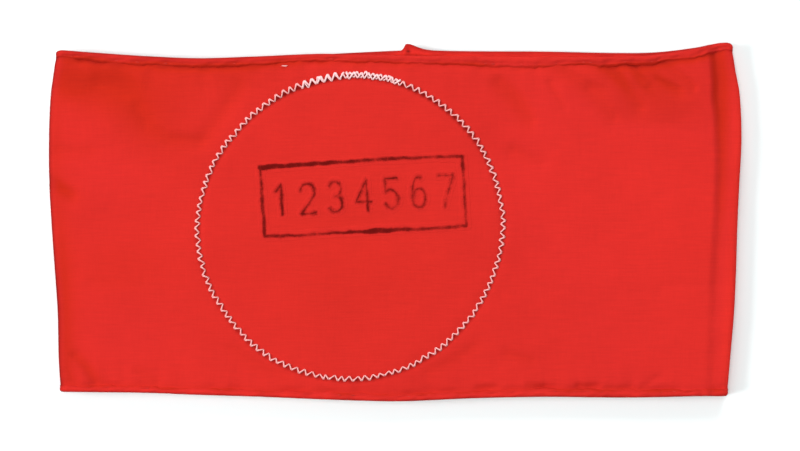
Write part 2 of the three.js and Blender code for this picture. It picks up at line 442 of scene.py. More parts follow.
def fold_along(wrinkle, x, y):
    """The depth of a wrinkle, from how far a place is off its path and on which side."""
    nearest = np.full(np.broadcast(x, y).shape, np.inf)
    depth = np.zeros(nearest.shape)
    for start, end in zip(wrinkle.path, wrinkle.path[1:]):
        _, distance, side = off_stretch(start, end, x, y)
        blend = smooth_step(0.5 + side / (wrinkle.left + wrinkle.right))
        wide = wrinkle.right + (wrinkle.left - wrinkle.right) * blend
        depth = np.where(distance < nearest, wrinkle.depth * bell(distance, wide), depth)
        nearest = np.minimum(nearest, distance)
    return depth


def crease(x, y, column):
    """One column of the crease's table at any place: steep towards the middle, soft towards the fold."""
    wobble = sum(waves_along(y, kind) for kind in CREASE_WANDER)
    off = x - read(CREASE, "x", y) + wobble
    flank = smooth_step(off / CREASE_FLANK + 0.5)
    tail = bell(np.maximum(off - CREASE_FLANK / 2, 0), CREASE_TAIL, CREASE_TAIL_POWER)
    return read(CREASE, column, y) * flank * tail


def ring_angle(x, y):
    return np.arctan2(x - RING_X, y - RING_Y)


def ring_off(x, y):
    """How far a place lies outside the middle of the ring's stitches."""
    return np.hypot(x - RING_X, y - RING_Y) - ring_value("radius", np.degrees(ring_angle(x, y)))


def ring_pull(x, y):
    """The stitches draw the cloth down along the ring, and it swells a little on both sides."""
    off = ring_off(x, y)
    return PULL_DEPTH * bell(off, PULL_REACH) - SWELL_HEIGHT * bell(np.abs(off) - SWELL_OFF, SWELL_REACH)


def ring_shade(x, y):
    """How much painted shade darkens the cloth between the ring's stitches, mostly on their lower side,
    where they shadow it.
    """
    angle = ring_angle(x, y)
    aside = np.abs(ring_off(x, y) + DARK_OUT + DARK_DOWN * np.cos(angle))
    spots = DARK_LEVEL + DARK_SPOTS * np.cos(angle) * np.cos(RING_STITCHES * angle)
    dark = ring_value("dark", np.degrees(angle)) * spots
    return np.minimum(dark, DARK_MOST) * np.clip(1 - aside / DARK_REACH, 0, 1)


def fall(x, y):
    """How far the front layer lies below the height of its folds."""
    sag = MIDDLE_SAG * (1 - np.minimum(np.abs(x) / HALF_WIDTH, 1) ** SAG_POWER)
    broad = sum(dent.depth * oval(dent, x, y) for dent in DENTS)
    narrow = sum(fold_along(wrinkle, x, y) for wrinkle in WRINKLES)
    calm = 1 - RING_CALM * smooth_step((ring_off(x, y) + CALM_EDGE) / (-2 * CALM_EDGE))
    hills = waves(x, y, UNDULATION) + waves(x, y, SOFT_WAVES) * calm + waves(x, y, FINE_WAVES)
    return sag + broad + narrow + crease(x, y, "depth") + ring_pull(x, y) + hills


def fold_shading(section):
    """The painted shade on the left fold's outermost line and the painted light on the right fold's
    shoulder.
    """
    inwards = RADIUS * (1 - np.abs(section.out_x))
    left = FOLD_RIM_SHADE_LEFT * bell(inwards, FOLD_RIM_REACH)
    right = FOLD_SHOULDER_LIGHT_RIGHT * bell(inwards - FOLD_SHOULDER_IN, FOLD_SHOULDER_REACH)
    return np.where(section.out_x < 0, left, right)


def wear(section, x, across):
    """How much paler (above 0) or deeper the red is painted on the front layer and the folds: painted light
    and shade for the broad patches, the wrinkles' valleys, the crease and the folds.
    """
    change = sum(place.change * oval(place, x, across) for place in PAINTED_PATCHES)
    valleys = sum(fold_along(wrinkle, x, across) for wrinkle in WRINKLES)
    painted_dark = VALLEY_SHADE * np.tanh(valleys / VALLEY_SHADE_DEPTH)
    return (change - painted_dark - crease(x, across, "wear")) * section.lift + fold_shading(section)


def tint_of(change, warm):
    """Red, green and blue factors for a change of the red, which is mostly painted shade and light. warm is
    1 where the blue changes more than it.
    """
    blue = np.clip(1 + BLUE_LOSS * change, BLUE_LEAST, BLUE_MOST)
    return np.stack([1 + change, 1 + change, 1 + change + warm * (blue - 1 - change)], -1)


# Where cloth lies

Section = namedtuple("Section", "share out_x out_z lift")


def fold_curve():
    """The section of a fold from its top to its bottom: the share of its length, and how far out and up."""
    angle = np.linspace(math.pi / 2, -math.pi / 2, FOLD_POINTS)
    out = np.abs(np.cos(angle)) ** (2 / FOLD_FULLNESS)
    out[[0, -1]] = 0
    up = np.sign(np.sin(angle)) * np.abs(np.sin(angle)) ** (2 / FOLD_FULLNESS)
    length = np.concatenate([[0], np.hypot(np.diff(out), np.diff(up)).cumsum()])
    return length / length[-1], out, up


FOLD_SHARE, FOLD_OUT, FOLD_UP = fold_curve()


def section_at(around):
    """Places round the loop, which is measured from the left end of the front layer to the right fold, the
    back layer and the left fold. A share counts from the left fold to the right one, out_x and out_z point
    away from the loop, and lift is 0 on the back layer and 1 on the front."""
    front = np.mod(around, LOOP)
    right = front - FLAT_WIDTH
    back = right - FOLD_ARC
    left = back - FLAT_WIDTH
    stretch = [right <= 0, back <= 0, left <= 0]
    none = 0 * front
    turned = np.select(stretch, [none, right / FOLD_ARC, none + 1], 1 - left / FOLD_ARC)
    side = np.select(stretch, [none, none + 1, none], none - 1)
    share = np.select(stretch, [front / FLAT_WIDTH, none + 1, 1 - back / FLAT_WIDTH], none)
    out_z = np.interp(turned, FOLD_SHARE, FOLD_UP)
    return Section(share, np.interp(turned, FOLD_SHARE, FOLD_OUT) * side, out_z, (1 + out_z) / 2)


def behind(section):
    """Whether places are on the back layer or a fold's lower half."""
    return section.lift < 0.5


def flatness(section):
    """1 on the two layers and 0 on the outer part of the folds."""
    return 1 - smooth_step(np.abs(section.out_x) / FOLD_FLAT)


def back_place(x):
    """The place round the loop of an X on the back layer."""
    return FLAT_WIDTH + FOLD_ARC + FLAT_WIDTH * (0.5 - x / FLAT_WIDTH)


def face_x(section, across):
    left_bow = read(FOLDS, "left", across) + HALF_WIDTH
    right_bow = read(FOLDS, "right", across) - HALF_WIDTH
    share = section.share
    bow = left_bow * (1 - share) ** BOW_REACH + right_bow * share**BOW_REACH
    return (share - 0.5) * FLAT_WIDTH + bow + RADIUS * section.out_x


def cloth_point(around, across, proud):
    """A point of the cloth: around the loop, across the band, and how far it stands off the outer face."""
    around, across, proud = np.broadcast_arrays(around, across, proud)
    section = section_at(around)
    x = face_x(section, across)
    lift = section.lift
    shown = np.maximum(back_rise(x), 0) / max(row.back_rise for row in EDGES)
    edge_rise = BACK_EDGE_RISE * shown * smooth_step((across - HEM_LINE) / BACK_EDGE_REACH + 1)
    off_floor = np.maximum(BACK_LIFT.height + waves(x, across, BACK_LIFT), 0) + edge_rise
    z = RADIUS + (RADIUS + proud) * section.out_z - lift * fall(x, across) + (1 - lift) * off_floor
    return np.stack([x + proud * section.out_x, across, z], -1)


def front_point(x, y, above):
    """A point over the front layer, away from the folds."""
    around = x + FLAT_WIDTH / 2
    for _ in range(FRONT_ROUNDS):
        around = around + x - face_x(section_at(around), y)
    return cloth_point(around, y, above)


# The two hems: which way is outwards, their columns in the tables, how far and how suddenly their ends are
# drawn in at the folds, and the share of the hem's width that the painted shade of its turned edge takes.
Hem = namedtuple("Hem", "up edge turn corner corner_power rim_reach")
UPPER = Hem(1, "top", "upper", 0.5, 6, 0.14)
LOWER = Hem(-1, "bottom", "lower", 0.2, 12, 0.10)

# The ear: its top and two flanks, how far it is lifted off the floor, and the small hollow in it, darkened
# with painted shade
EAR_TOP = 0.5
EAR_LEFT = 0.8
EAR_RIGHT = 3.8
EAR_RIGHT_POWER = 1.67
EAR_LIFT = 0.45
EAR_LIFT_LEFT = 1.8
EAR_LIFT_RIGHT = 9.0
EAR_HOLLOW = 0.5
EAR_HOLLOW_OFF = 0.1
EAR_HOLLOW_WIDE = 0.75
EAR_HOLLOW_SHADE = -1.0


def hem_x(section, hem):
    return face_x(section, np.full(np.shape(section.share), hem.up * HEM_LINE))


def edge_y(around, hem):
    """Where the cloth's turned edge runs."""
    section = section_at(around)
    x = hem_x(section, hem)
    corner = hem.up * hem.corner * section.out_x**hem.corner_power
    return read(EDGES, hem.edge, x) + (1 - section.lift) * back_rise(x) - corner


def hem_width(around, hem):
    wobble = sum(waves_along(around, kind, hem.up) for kind in HEM_WOBBLE)
    return read(TURNS, hem.turn, hem_x(section_at(around), hem)) + wobble


def hem_y(around, hem, inset):
    """The place across the band that lies a share of a hem's width in from its turned edge."""
    return edge_y(around, hem) - hem.up * inset * hem_width(around, hem)


def ear_off(section):
    """How far places along the upper hem are to the right of the ear's top."""
    return hem_x(section, UPPER) - EAR_X


def ear(section):
    """The seam's end, a small tab on the back layer's upper edge."""
    off = ear_off(section)
    left = bell(np.maximum(-off - EAR_TOP, 0), EAR_LEFT)
    right = bell(np.maximum(off, 0), EAR_RIGHT, EAR_RIGHT_POWER)
    return behind(section) * left * right


def ear_lift(section):
    """How far the hem is lifted off the floor at the ear, steeply on its left and slowly on its right."""
    off = ear_off(section)
    return EAR_LIFT * behind(section) * bell(off, np.where(off < 0, EAR_LIFT_LEFT, EAR_LIFT_RIGHT))


def ear_spot(section):
    """The small hollow in the ear, by how near a place is to its middle."""
    return behind(section) * bell(ear_off(section) - EAR_HOLLOW_OFF, EAR_HOLLOW_WIDE)


def hem_dip(around, inset, hem):
    """How far the cloth is drawn down beside a hem, and the puckers that run out of it."""
    section = section_at(around)
    x = hem_x(section, hem)
    groove = GROOVE_DEPTH + waves_along(around, GROOVE_UNEVEN, hem.up)
    for pinch in PINCHES:
        if pinch.up == hem.up:
            groove = groove + pinch.depth * section.lift * bell(x - pinch.x, pinch.wide)
    drawn = np.maximum(groove, GROOVE_LEAST) * bell(inset, GROOVE_REACH)
    swell = waves(around, PUCKER_DRAWN * inset, PUCKERS, 3 * hem.up)
    return drawn + swell * smooth_step(inset / PUCKER_START) * bell(inset, PUCKER_REACH, 1)


# Making meshes

def to_scene(name, data):
    thing = bpy.data.objects.new(name, data)
    bpy.context.scene.collection.objects.link(thing)
    return thing


def new_piece(name, points, faces, material, cloth=None, tone=None, tint=None, flat_from=None):
    """A mesh object in metres. cloth holds each point's place on the unrolled cloth, tone a value from 0 to
    1 for each point and tint its colour factors, and the faces from flat_from on aren't smoothed."""
    mesh = bpy.data.meshes.new(name)
    mesh.from_pydata((np.asarray(points) * MM).tolist(), [], faces)
    mesh.polygons.foreach_set("use_smooth", np.arange(len(faces)) < (flat_from or len(faces)))
    if cloth is not None:
        cloth = np.pad(np.asarray(cloth) * MM, ((0, 0), (0, 1)))
    values = [("cloth", "FLOAT_VECTOR", "vector", cloth), ("tone", "FLOAT", "value", tone),
              ("tint", "FLOAT_VECTOR", "vector", tint)]
    for label, kind, field, numbers in values:
        if numbers is not None:
            numbers = np.asarray(numbers, np.float32).ravel()
            mesh.attributes.new(label, kind, "POINT").data.foreach_set(field, numbers)
    mesh.materials.append(material)
    mesh.validate()
    mesh.update()
    return to_scene(name, mesh)


def grid_faces(rows, columns, offset=0, turned=False, closed=False):
    """Four-sided faces between neighbouring points of a grid. A closed one runs round both ways."""
    open_ends = 0 if closed else 1
    i, j = np.meshgrid(np.arange(rows - open_ends), np.arange(columns - open_ends), indexing="ij")
    next_i = (i + 1) % rows
    next_j = (j + 1) % columns
    corners = [i * columns + j, next_i * columns + j, next_i * columns + next_j, i * columns + next_j]
    corners = np.stack(corners, -1).reshape(-1, 4) + offset
    return (corners[:, ::-1] if turned else corners).tolist()


def rim_walk(rows, columns):
    """The points round a grid's rim, in the order that its faces turn."""
    grid = np.arange(rows * columns).reshape(rows, columns)
    return np.concatenate([grid[:, 0], grid[-1, 1:], grid[-2::-1, -1], grid[0, -2:0:-1]]).tolist()


def thick_sheet(name, outer, inner, cloth, material, step, tint=None):
    """A closed sheet between an outer skin and an inner one, which has a point for each step outer ones."""
    rows, columns = outer.shape[:2]
    inner_rows, inner_columns = inner.shape[:2]
    start = rows * columns
    faces = grid_faces(rows, columns) + grid_faces(inner_rows, inner_columns, start, turned=True)
    smooth = len(faces)
    outer_rim = rim_walk(rows, columns)
    inner_rim = rim_walk(inner_rows, inner_columns)
    for k, low in enumerate(inner_rim):
        high = inner_rim[(k + 1) % len(inner_rim)]
        span = [outer_rim[(k * step + s) % len(outer_rim)] for s in range(step, -1, -1)]
        faces.append(span + [start + low, start + high])
    points = np.concatenate([outer.reshape(-1, 3), inner.reshape(-1, 3)])
    places = np.concatenate([cloth.reshape(-1, 2), cloth[::step, ::step].reshape(-1, 2)])
    if tint is not None:
        tint = np.concatenate([tint.reshape(-1, 3), tint[::step, ::step].reshape(-1, 3)])
    return new_piece(name, points, faces, material, places, tint=tint, flat_from=smooth)


def stations(stretches):
    """Places from the first stretch's start to the last one's end, an odd number of them. A stretch has its
    start, its end and about how far apart its places are."""
    places = [np.linspace(start, end, 2 * math.ceil((end - start) / step / 2), endpoint=False)
              for start, end, step in stretches]
    return np.concatenate(places + [[stretches[-1][1]]])


# A thread's plies, the depth of their lobes, its twist a millimetre, how thick its ends are, and how full
# its arch over the cloth and how steep its way into the cloth are
THREAD_PLIES = 3
THREAD_LOBE = 0.12
THREAD_TWIST = 4.6
THREAD_END = 0.45
ARCH_POWER = 0.6
SINK_POWER = 3


def arched(start, end, steps, rise, sink):
    """Lines that leave the cloth at their start, arch over it and go back in at their end, with the height
    over the cloth of each point."""
    share = np.linspace(0, 1, steps)
    places = start[:, None] + (end - start)[:, None] * share[:, None]
    arch = np.sin(math.pi * share)
    height = rise * arch**ARCH_POWER - sink * (1 - arch) ** SINK_POWER
    return places, height


def threads(name, lines, radius, material, seed, sides=9, thick=1.0, tone=None):
    """Twisted threads along lines of points, in one mesh. Each is round with a lobe for each ply, and its
    ends are closed. thick makes single points of a line thicker, and tone is a value for each line."""
    chance = np.random.default_rng(seed)
    lines = np.asarray(lines)
    count, steps = lines.shape[:2]
    side = np.cross(lines[:, -1] - lines[:, 0], [0, 0, 1])
    side = side / np.linalg.norm(side, axis=1, keepdims=True)
    side = np.repeat(side[:, None], steps, axis=1)
    tangent = np.gradient(lines, axis=1)
    tangent = tangent / np.linalg.norm(tangent, axis=2, keepdims=True)
    normal = np.cross(side, tangent)
    walked = np.linalg.norm(np.diff(lines, axis=1), axis=2).cumsum(1)
    turn = np.concatenate([np.zeros((count, 1)), walked], 1) * THREAD_TWIST
    turn = turn + chance.uniform(0, 2 * math.pi, (count, 1))
    corner = np.arange(sides) * 2 * math.pi / sides
    angle = turn[:, :, None] + corner
    taper = np.ones(steps)
    taper[[0, -1]] = THREAD_END
    lobe = 1 + THREAD_LOBE * np.cos(corner * THREAD_PLIES)
    reach = radius * (taper * thick * np.ones((count, 1)))[:, :, None] * lobe
    ring = (lines[:, :, None] + (reach * np.cos(angle))[..., None] * side[:, :, None]
            + (reach * np.sin(angle))[..., None] * normal[:, :, None])
    faces = []
    for rounds in np.arange(count * steps * sides).reshape(count, steps, sides):
        after = np.roll(rounds, -1, axis=1)
        faces += np.stack([rounds[:-1], after[:-1], after[1:], rounds[1:]], -1).reshape(-1, 4).tolist()
        faces += [rounds[0, ::-1].tolist(), rounds[-1].tolist()]
    tone = chance.uniform(0, 1, count) if tone is None else tone
    return new_piece(name, ring.reshape(-1, 3), faces, material, tone=np.repeat(tone, steps * sides))


# Materials

RED = (0.568, 0.0200, 0.0154)
HEM_RED = tuple(0.94 * c for c in RED)
SEAM_RED = tuple(0.95 * c for c in RED)
INK_RED = (0.088, 0.0022, 0.0018, 1)

# Kinds of noise: scales a metre along X, Y and Z, detail, and roughness
SLUBS = ((130, 1900, 100), 3.0, 0.6)
WARP_SLUBS = ((2200, 160, 100), 2.0)
PATCHES = ((38, 52, 40), 2.0)
WEAVE_WANDER = ((900, 900, 900), 1.0)
INK_PATCHES = ((420, 420, 400), 4.0, 0.65)
INK_GRAIN = ((2600, 2600, 400), 1.0)
FUZZ = ((4200, 4200, 4200), 2.0)

# How much the two kinds of slubs, the patches and the weave change the cotton's tone, the weave's share
# being painted light on its crossings and painted shade between them, and how much the patches, the grain
# and the weave change the ink's strength.
COTTON_SHARES = (0.20, 0.08, 0.10, 0.14)
INK_SHARES = (0.9, 0.5, 0.4)

# The cotton's roughness, sheen and bumps, and what its slubs add to its roughness and height
COTTON_ROUGHNESS = 0.86
COTTON_SHEEN = 0.03
COTTON_BUMPS = 0.55
COTTON_DEPTH = 0.05
SLUB_ROUGHNESS = 0.2
SLUB_HEIGHT = 1.2

# The threads' roughness, sheen and bumps, and how much their fuzz changes their tone
THREAD_ROUGHNESS = 0.75
THREAD_SHEEN = 0.2
THREAD_BUMPS = 0.4
THREAD_DEPTH = 0.03
FUZZ_SHARE = 0.22

# The weave: how far its threads wander, its middle height, and how steep it is across and along a thread
WANDER_SHARE = 1.6
WEAVE_MIDDLE = 0.6
WEAVE_STEEP = 0.8
WEAVE_LONG = 0.35

# The strengths between which ink grows to its full share of the colour, and how much smoother it is
INK_FROM = 0.18
INK_TO = 0.95
INK_FULL = 0.93
INK_SMOOTHER = -0.08


def tree_of(name):
    material = bpy.data.materials.new(name)
    material.use_nodes = True
    return material, material.node_tree


def feed(tree, node, inputs):
    """Feeds a node's inputs from other nodes' sockets, or sets them to plain values."""
    for key, source in inputs.items():
        if isinstance(source, bpy.types.NodeSocket):
            tree.links.new(source, node.inputs[key])
        else:
            node.inputs[key].default_value = source


def add_node(tree, kind, inputs, **settings):
    node = tree.nodes.new(kind)
    for key, value in settings.items():
        setattr(node, key, value)
    feed(tree, node, inputs)
    return node


def maths(tree, operation, first, second=0.0, third=0.0):
    return add_node(tree, "ShaderNodeMath", {0: first, 1: second, 2: third}, operation=operation).outputs[0]


def total(tree, base, parts, shares):
    """A base value and a share of each part."""
    for part, share in zip(parts, shares):
        base = maths(tree, "MULTIPLY_ADD", part, share, base)
    return base


def noise(tree, place, scale, detail, roughness=0.5):
    """Noise around 0, whose scale may differ along the three axes."""
    stretch = add_node(tree, "ShaderNodeVectorMath", {0: place, 1: scale}, operation="MULTIPLY")
    node = add_node(tree, "ShaderNodeTexNoise", {
        "Vector": stretch.outputs[0], "Scale": 1.0, "Detail": detail, "Roughness": roughness})
    return maths(tree, "SUBTRACT", node.outputs["Fac"], 0.5)


def attribute(tree, name, kind):
    return add_node(tree, "ShaderNodeAttribute", {}, attribute_name=name).outputs[kind]


def mixed(tree, share, first, second, blend="MIX"):
    """A mix of two colours."""
    sources = {"Factor": share, 6: first, 7: second}
    return add_node(tree, "ShaderNodeMix", sources, data_type="RGBA", blend_type=blend).outputs[2]


def shade(tree, colour, value):
    """A colour made lighter or darker: value 0 leaves it as it is."""
    factor = maths(tree, "ADD", value, 1.0)
    grey = add_node(tree, "ShaderNodeCombineColor", {0: factor, 1: factor, 2: factor})
    return mixed(tree, 1.0, colour, grey.outputs[0], "MULTIPLY")


def dress(tree, colour, roughness, specular, height, strength, distance):
    """Gives a material its colour and sheen, and small bumps from a height."""
    bump = add_node(tree, "ShaderNodeBump", {"Strength": strength, "Distance": distance, "Height": height})
    feed(tree, tree.nodes["Principled BSDF"], {
        "Base Color": colour, "Roughness": roughness, "Specular IOR Level": specular,
        "Normal": bump.outputs["Normal"]})


def pillow(tree, across, along):
    steep = maths(tree, "POWER", across, WEAVE_STEEP)
    return maths(tree, "MULTIPLY", steep, maths(tree, "POWER", along, WEAVE_LONG))


def weave_height(tree, place):
    """The over and under of a plain weave: each crossing is a small pillow, long along the thread on top."""
    wander = maths(tree, "MULTIPLY", noise(tree, place, *WEAVE_WANDER), WANDER_SHARE)
    split = add_node(tree, "ShaderNodeSeparateXYZ", {0: place})
    turns = math.pi / (THREAD_PITCH * MM)
    phases = [maths(tree, "MULTIPLY_ADD", split.outputs[axis], turns, wander) for axis in (0, 1)]
    ridges = [maths(tree, "SINE", phase) for phase in phases]
    warp, weft = [maths(tree, "ABSOLUTE", ridge) for ridge in ridges]
    over = maths(tree, "GREATER_THAN", maths(tree, "MULTIPLY", *ridges), 0.0)
    weft_top = pillow(tree, weft, warp)
    difference = maths(tree, "SUBTRACT", pillow(tree, warp, weft), weft_top)
    return maths(tree, "MULTIPLY_ADD", difference, over, weft_top)


def cotton(name, colour, depth=1.0, painted_shading_tint=False, ink=False):
    """Plain-woven cotton with slubs along the weft. With its painted tint on, it takes each point's tint of
    painted shade and light, and ink prints with each point's tone as its strength."""
    material, tree = tree_of(name)
    place = attribute(tree, "cloth", "Vector")
    weave = weave_height(tree, place)
    relief = maths(tree, "SUBTRACT", weave, WEAVE_MIDDLE)
    slubs, warp_slubs, patches = [noise(tree, place, *kind) for kind in (SLUBS, WARP_SLUBS, PATCHES)]
    change = total(tree, 0.0, [slubs, warp_slubs, patches, relief], COTTON_SHARES)
    surface = shade(tree, (*colour, 1), change)
    if painted_shading_tint:
        surface = mixed(tree, 1.0, surface, attribute(tree, "tint", "Color"), "MULTIPLY")
    roughness = maths(tree, "MULTIPLY_ADD", slubs, SLUB_ROUGHNESS, COTTON_ROUGHNESS)
    if ink:
        surface, roughness = printed(tree, surface, roughness, relief, place)
    height = maths(tree, "MULTIPLY_ADD", slubs, SLUB_HEIGHT, weave)
    dress(tree, surface, roughness, COTTON_SHEEN, height, COTTON_BUMPS, COTTON_DEPTH * MM * depth)
    return material


def printed(tree, surface, roughness, relief, place):
    """Old stamp ink on the cloth: solid along a stroke's middle, broken up by the weave at its edges."""
    uneven = [noise(tree, place, *kind) for kind in (INK_PATCHES, INK_GRAIN)]
    level = total(tree, attribute(tree, "tone", "Fac"), [*uneven, relief], INK_SHARES)
    ramp = add_node(tree, "ShaderNodeMapRange", {
        "Value": level, "From Min": INK_FROM, "From Max": INK_TO, "To Max": INK_FULL},
        interpolation_type="SMOOTHSTEP")
    share = ramp.outputs["Result"]
    roughness = maths(tree, "MULTIPLY_ADD", share, INK_SMOOTHER, roughness)
    return mixed(tree, share, surface, INK_RED), roughness


def sewing_thread(name, deep, pale):
    """Spun cotton thread, each stitch somewhere between a deeper colour and a paler one by its tone."""
    material, tree = tree_of(name)
    fuzz = noise(tree, add_node(tree, "ShaderNodeTexCoord", {}).outputs["Object"], *FUZZ)
    colour = mixed(tree, attribute(tree, "tone", "Fac"), (*deep, 1), (*pale, 1))
    colour = shade(tree, colour, maths(tree, "MULTIPLY", fuzz, FUZZ_SHARE))
    dress(tree, colour, THREAD_ROUGHNESS, THREAD_SHEEN, fuzz, THREAD_BUMPS, THREAD_DEPTH * MM)
    return material


red_cotton = cotton("red_cotton", RED, painted_shading_tint=True)
hem_cotton = cotton("hem_cotton", HEM_RED, depth=1.2, painted_shading_tint=True)
seam_cotton = cotton("seam_cotton", SEAM_RED, depth=1.2)
stamped_cotton = cotton("stamped_cotton", RED, ink=True)
white_thread = sewing_thread("white_thread", (0.82, 0.35, 0.34), (0.90, 0.54, 0.54))
red_thread = sewing_thread("red_thread", (0.48, 0.026, 0.019), (0.60, 0.034, 0.025))


# The band

BAND_ROWS = 151
ROW_EASE = 0.4
INNER_STEP = 2

# The stretch with the crease, by how far its ends are from the front layer's right end
CREASE_FROM = 13
CREASE_TO = 1

# How much of the dip beside a hem is left on the back layer, and the painted shade beside the hems, in
# their grooves
DIP_BEHIND = 0.04
LOWER_GROOVE_SHADE = 0.03
LOWER_GROOVE_SHADE_REACH = 0.9
UPPER_GROOVE_SHADE_REACH = 1.3
GROOVE_SHADE_POWER = 1.5


def band_across(around, share):
    """Places across the band, whose two edges are tucked in under the hems, and where the hems begin."""
    low = hem_y(around, LOWER, 1)[:, None]
    high = hem_y(around, UPPER, 1)[:, None]
    return low - TUCK + (high - low + 2 * TUCK) * share, low, high


def band_grid():
    """The band's points: places round the loop, and across it from one hem to the other."""
    half = SEAM_WIDTH / 2
    around = stations([
        (back_place(SEAM_X - half) - LOOP, -FOLD_ARC, 2.4),
        (-FOLD_ARC, 0, 0.7),
        (0, FLAT_WIDTH - CREASE_FROM, 0.72),
        (FLAT_WIDTH - CREASE_FROM, FLAT_WIDTH - CREASE_TO, 0.45),
        (FLAT_WIDTH - CREASE_TO, FLAT_WIDTH + FOLD_ARC, 0.65),
        (FLAT_WIDTH + FOLD_ARC, back_place(SEAM_X + half), 2.4),
    ])
    even = np.linspace(0, 1, BAND_ROWS)
    share = even - ROW_EASE * np.sin(2 * math.pi * even) / (2 * math.pi)
    across, low, high = band_across(around, share)
    return around[:, None] + 0 * across, across, low, high


def band_cloth():
    around, across, low, high = band_grid()
    from_low = np.maximum(across - low, 0)
    from_high = np.maximum(high - across, 0)
    section = section_at(around)
    x = face_x(section, across)
    dip = hem_dip(around, from_low, LOWER) + hem_dip(around, from_high, UPPER)
    rise = np.maximum(section.out_z, 0)
    proud = -dip * np.where(dip > 0, kept(DIP_BEHIND, rise), rise)
    outer = cloth_point(around, across, proud)
    sparse = (slice(None, None, INNER_STEP),) * 2
    inner = cloth_point(around[sparse], across[sparse], proud[sparse] - CLOTH)
    # Painted shade in the grooves beside the hems, added to the cloth's own painted shade and light
    beside = read(TURNS, "soil", x) * (1 + waves_along(around, GROOVE_SHADE_MOTTLE))
    painted_dark = (LOWER_GROOVE_SHADE * bell(from_low, LOWER_GROOVE_SHADE_REACH, GROOVE_SHADE_POWER)
              + beside * bell(from_high, UPPER_GROOVE_SHADE_REACH, GROOVE_SHADE_POWER))
    colours = tint_of(wear(section, x, across) - painted_dark, flatness(section))
    # Painted shade beside the ring's stitches, mostly below them where they shadow the cloth
    stitch_shade = section.lift * ring_shade(x, across)
    cloth = np.stack([around, across], -1)
    tint = colours * (1 - stitch_shade)[..., None]
    return thick_sheet("band_cloth", outer, inner, cloth, red_cotton, INNER_STEP, tint)


# The hems

# The section of a hem, from its inner edge over the top, round the turned edge and back underneath: inset is
# how far in from the turned edge as a share of the hem's width, past 1 in the groove, and proud how far it
# stands off the band's outer face.
HEM_PROFILE = table("inset proud", [
    (1.11, -0.54),
    (1.03, -0.29),
    (0.94, -0.06),
    (0.86, 0.10),
    (0.78, 0.16),
    (0.71, 0.13),
    (0.62, 0.15),
    (0.52, 0.25),
    (0.40, 0.31),
    (0.26, 0.29),
    (0.14, 0.18),
    (0.05, -0.02),
    (0.00, -0.35),
    (0.00, -0.75),
    (0.05, -1.02),
    (0.14, -1.15),
    (0.24, -1.20),
    (0.35, -1.22),
    (0.46, -1.22),
    (0.60, -1.20),
    (0.80, -1.17),
    (1.00, -1.15),
])

# How proud a row is at least on the hem's top, and at most on its inside
HEM_TOP = -0.5
HEM_UNDER = -0.9

# The share of its form that a hem keeps on the back layer and in its groove, and how far it is sunk there
HEM_FLAT = 0.1
GROOVE_FLAT = 0.3
BACK_SINK = 0.12

# Painted changes of the red on a hem: painted shade at the turned edges and at the inner edge, painted light
# on the inside, and a paler red everywhere
HEM_RIM_SHADE = -0.32
BACK_RIM_SHARE = 1.4
BACK_RIM_REACH = 0.23
HEM_INNER_SHADE = -0.10
HEM_INSIDE_LIGHT = 0.18
HEM_DEEP_INSIDE_LIGHT = 0.50
HEM_PALE = 0.03

# Where changes across a hem start and the span that they grow over, as shares of its width: the lift at the
# ear, the inner edge's painted shade, the deep inside's painted light, and the blue that the red has lost
LIFT_GROWS = (0.55, 0.45)
INNER_GROWS = (0.6, 0.35)
DEEP_GROWS = (0.25, 0.3)
WARM_GROWS = (0.4, 0.3)

# The same shares for how far the ear reaches in, and for its hollow, its spot of painted shade and their
# reach, and how much the unevenness changes across a hem and on its inside
EAR_INSET = 0.8
HOLLOW_INSET = 0.35
SPOT_INSET = 0.47
SPOT_REACH = 0.10
UNEVEN_ACROSS = 4.0
UNEVEN_INSIDE = 0.5

# How much the ear takes off the painted light on the inside, and how much of the groove's painted shade the
# upper hem has, first on its left and then how much less from an X on
EAR_INSIDE = 0.6
EAR_DEEP_INSIDE = 0.45
HEM_GROOVE_SHADE = 0.62
HEM_GROOVE_SHADE_LESS = 0.36
HEM_GROOVE_SHADE_X = 60

STITCH_INSET = 0.71
STITCH_STEP = 2.1
STITCH_LENGTH = 1.55
STITCH_DIMPLE = 0.03
DIMPLE_REACH = 0.2
STITCH_STRAY = 0.03
STITCH_SLIP = 0.1
STITCH_THREAD = 0.15
STITCH_RISE = 0.07
STITCH_SINK = 0.30
STITCH_BED = 0.08
STITCH_LEAST = 0.3
STITCH_POINTS = 7
STITCH_SEED = 51
STITCH_THREAD_SEED = 61
EAR_CLEAR = 3


def hem_section(around, hem, row):
    """One row of a hem's section, all the way round the loop."""
    section = section_at(around)
    outward = EAR_HEIGHT * (hem is UPPER) * (1 - smooth_step(row.inset / EAR_INSET))
    across = hem_y(around, hem, row.inset) + outward * ear(section)
    uneven = waves(around, np.full(around.shape, UNEVEN_ACROSS * row.inset), HEM_UNEVEN, hem.up)
    if row.proud > HEM_TOP:
        dimple = np.cos(2 * math.pi * around / STITCH_STEP) * bell(row.inset - STITCH_INSET, DIMPLE_REACH)
        proud = row.proud + (uneven - STITCH_DIMPLE * dimple)
        rise = np.maximum(section.out_z, 0)
        flat = kept(HEM_FLAT, rise)
        if row.inset > 1:
            flat = kept(GROOVE_FLAT, np.abs(section.out_z))
        proud = proud * np.where(proud > 0, rise, flat)
    else:
        hollow = EAR_HOLLOW * bell(row.inset - HOLLOW_INSET, SPOT_REACH) * ear_spot(section)
        proud = row.proud + UNEVEN_INSIDE * uneven - (1 - section.lift) * BACK_SINK + hollow
    if hem is UPPER:
        proud = proud - ear_lift(section) * (1 - grown(row.inset, *LIFT_GROWS))
    return cloth_point(around, across, proud)


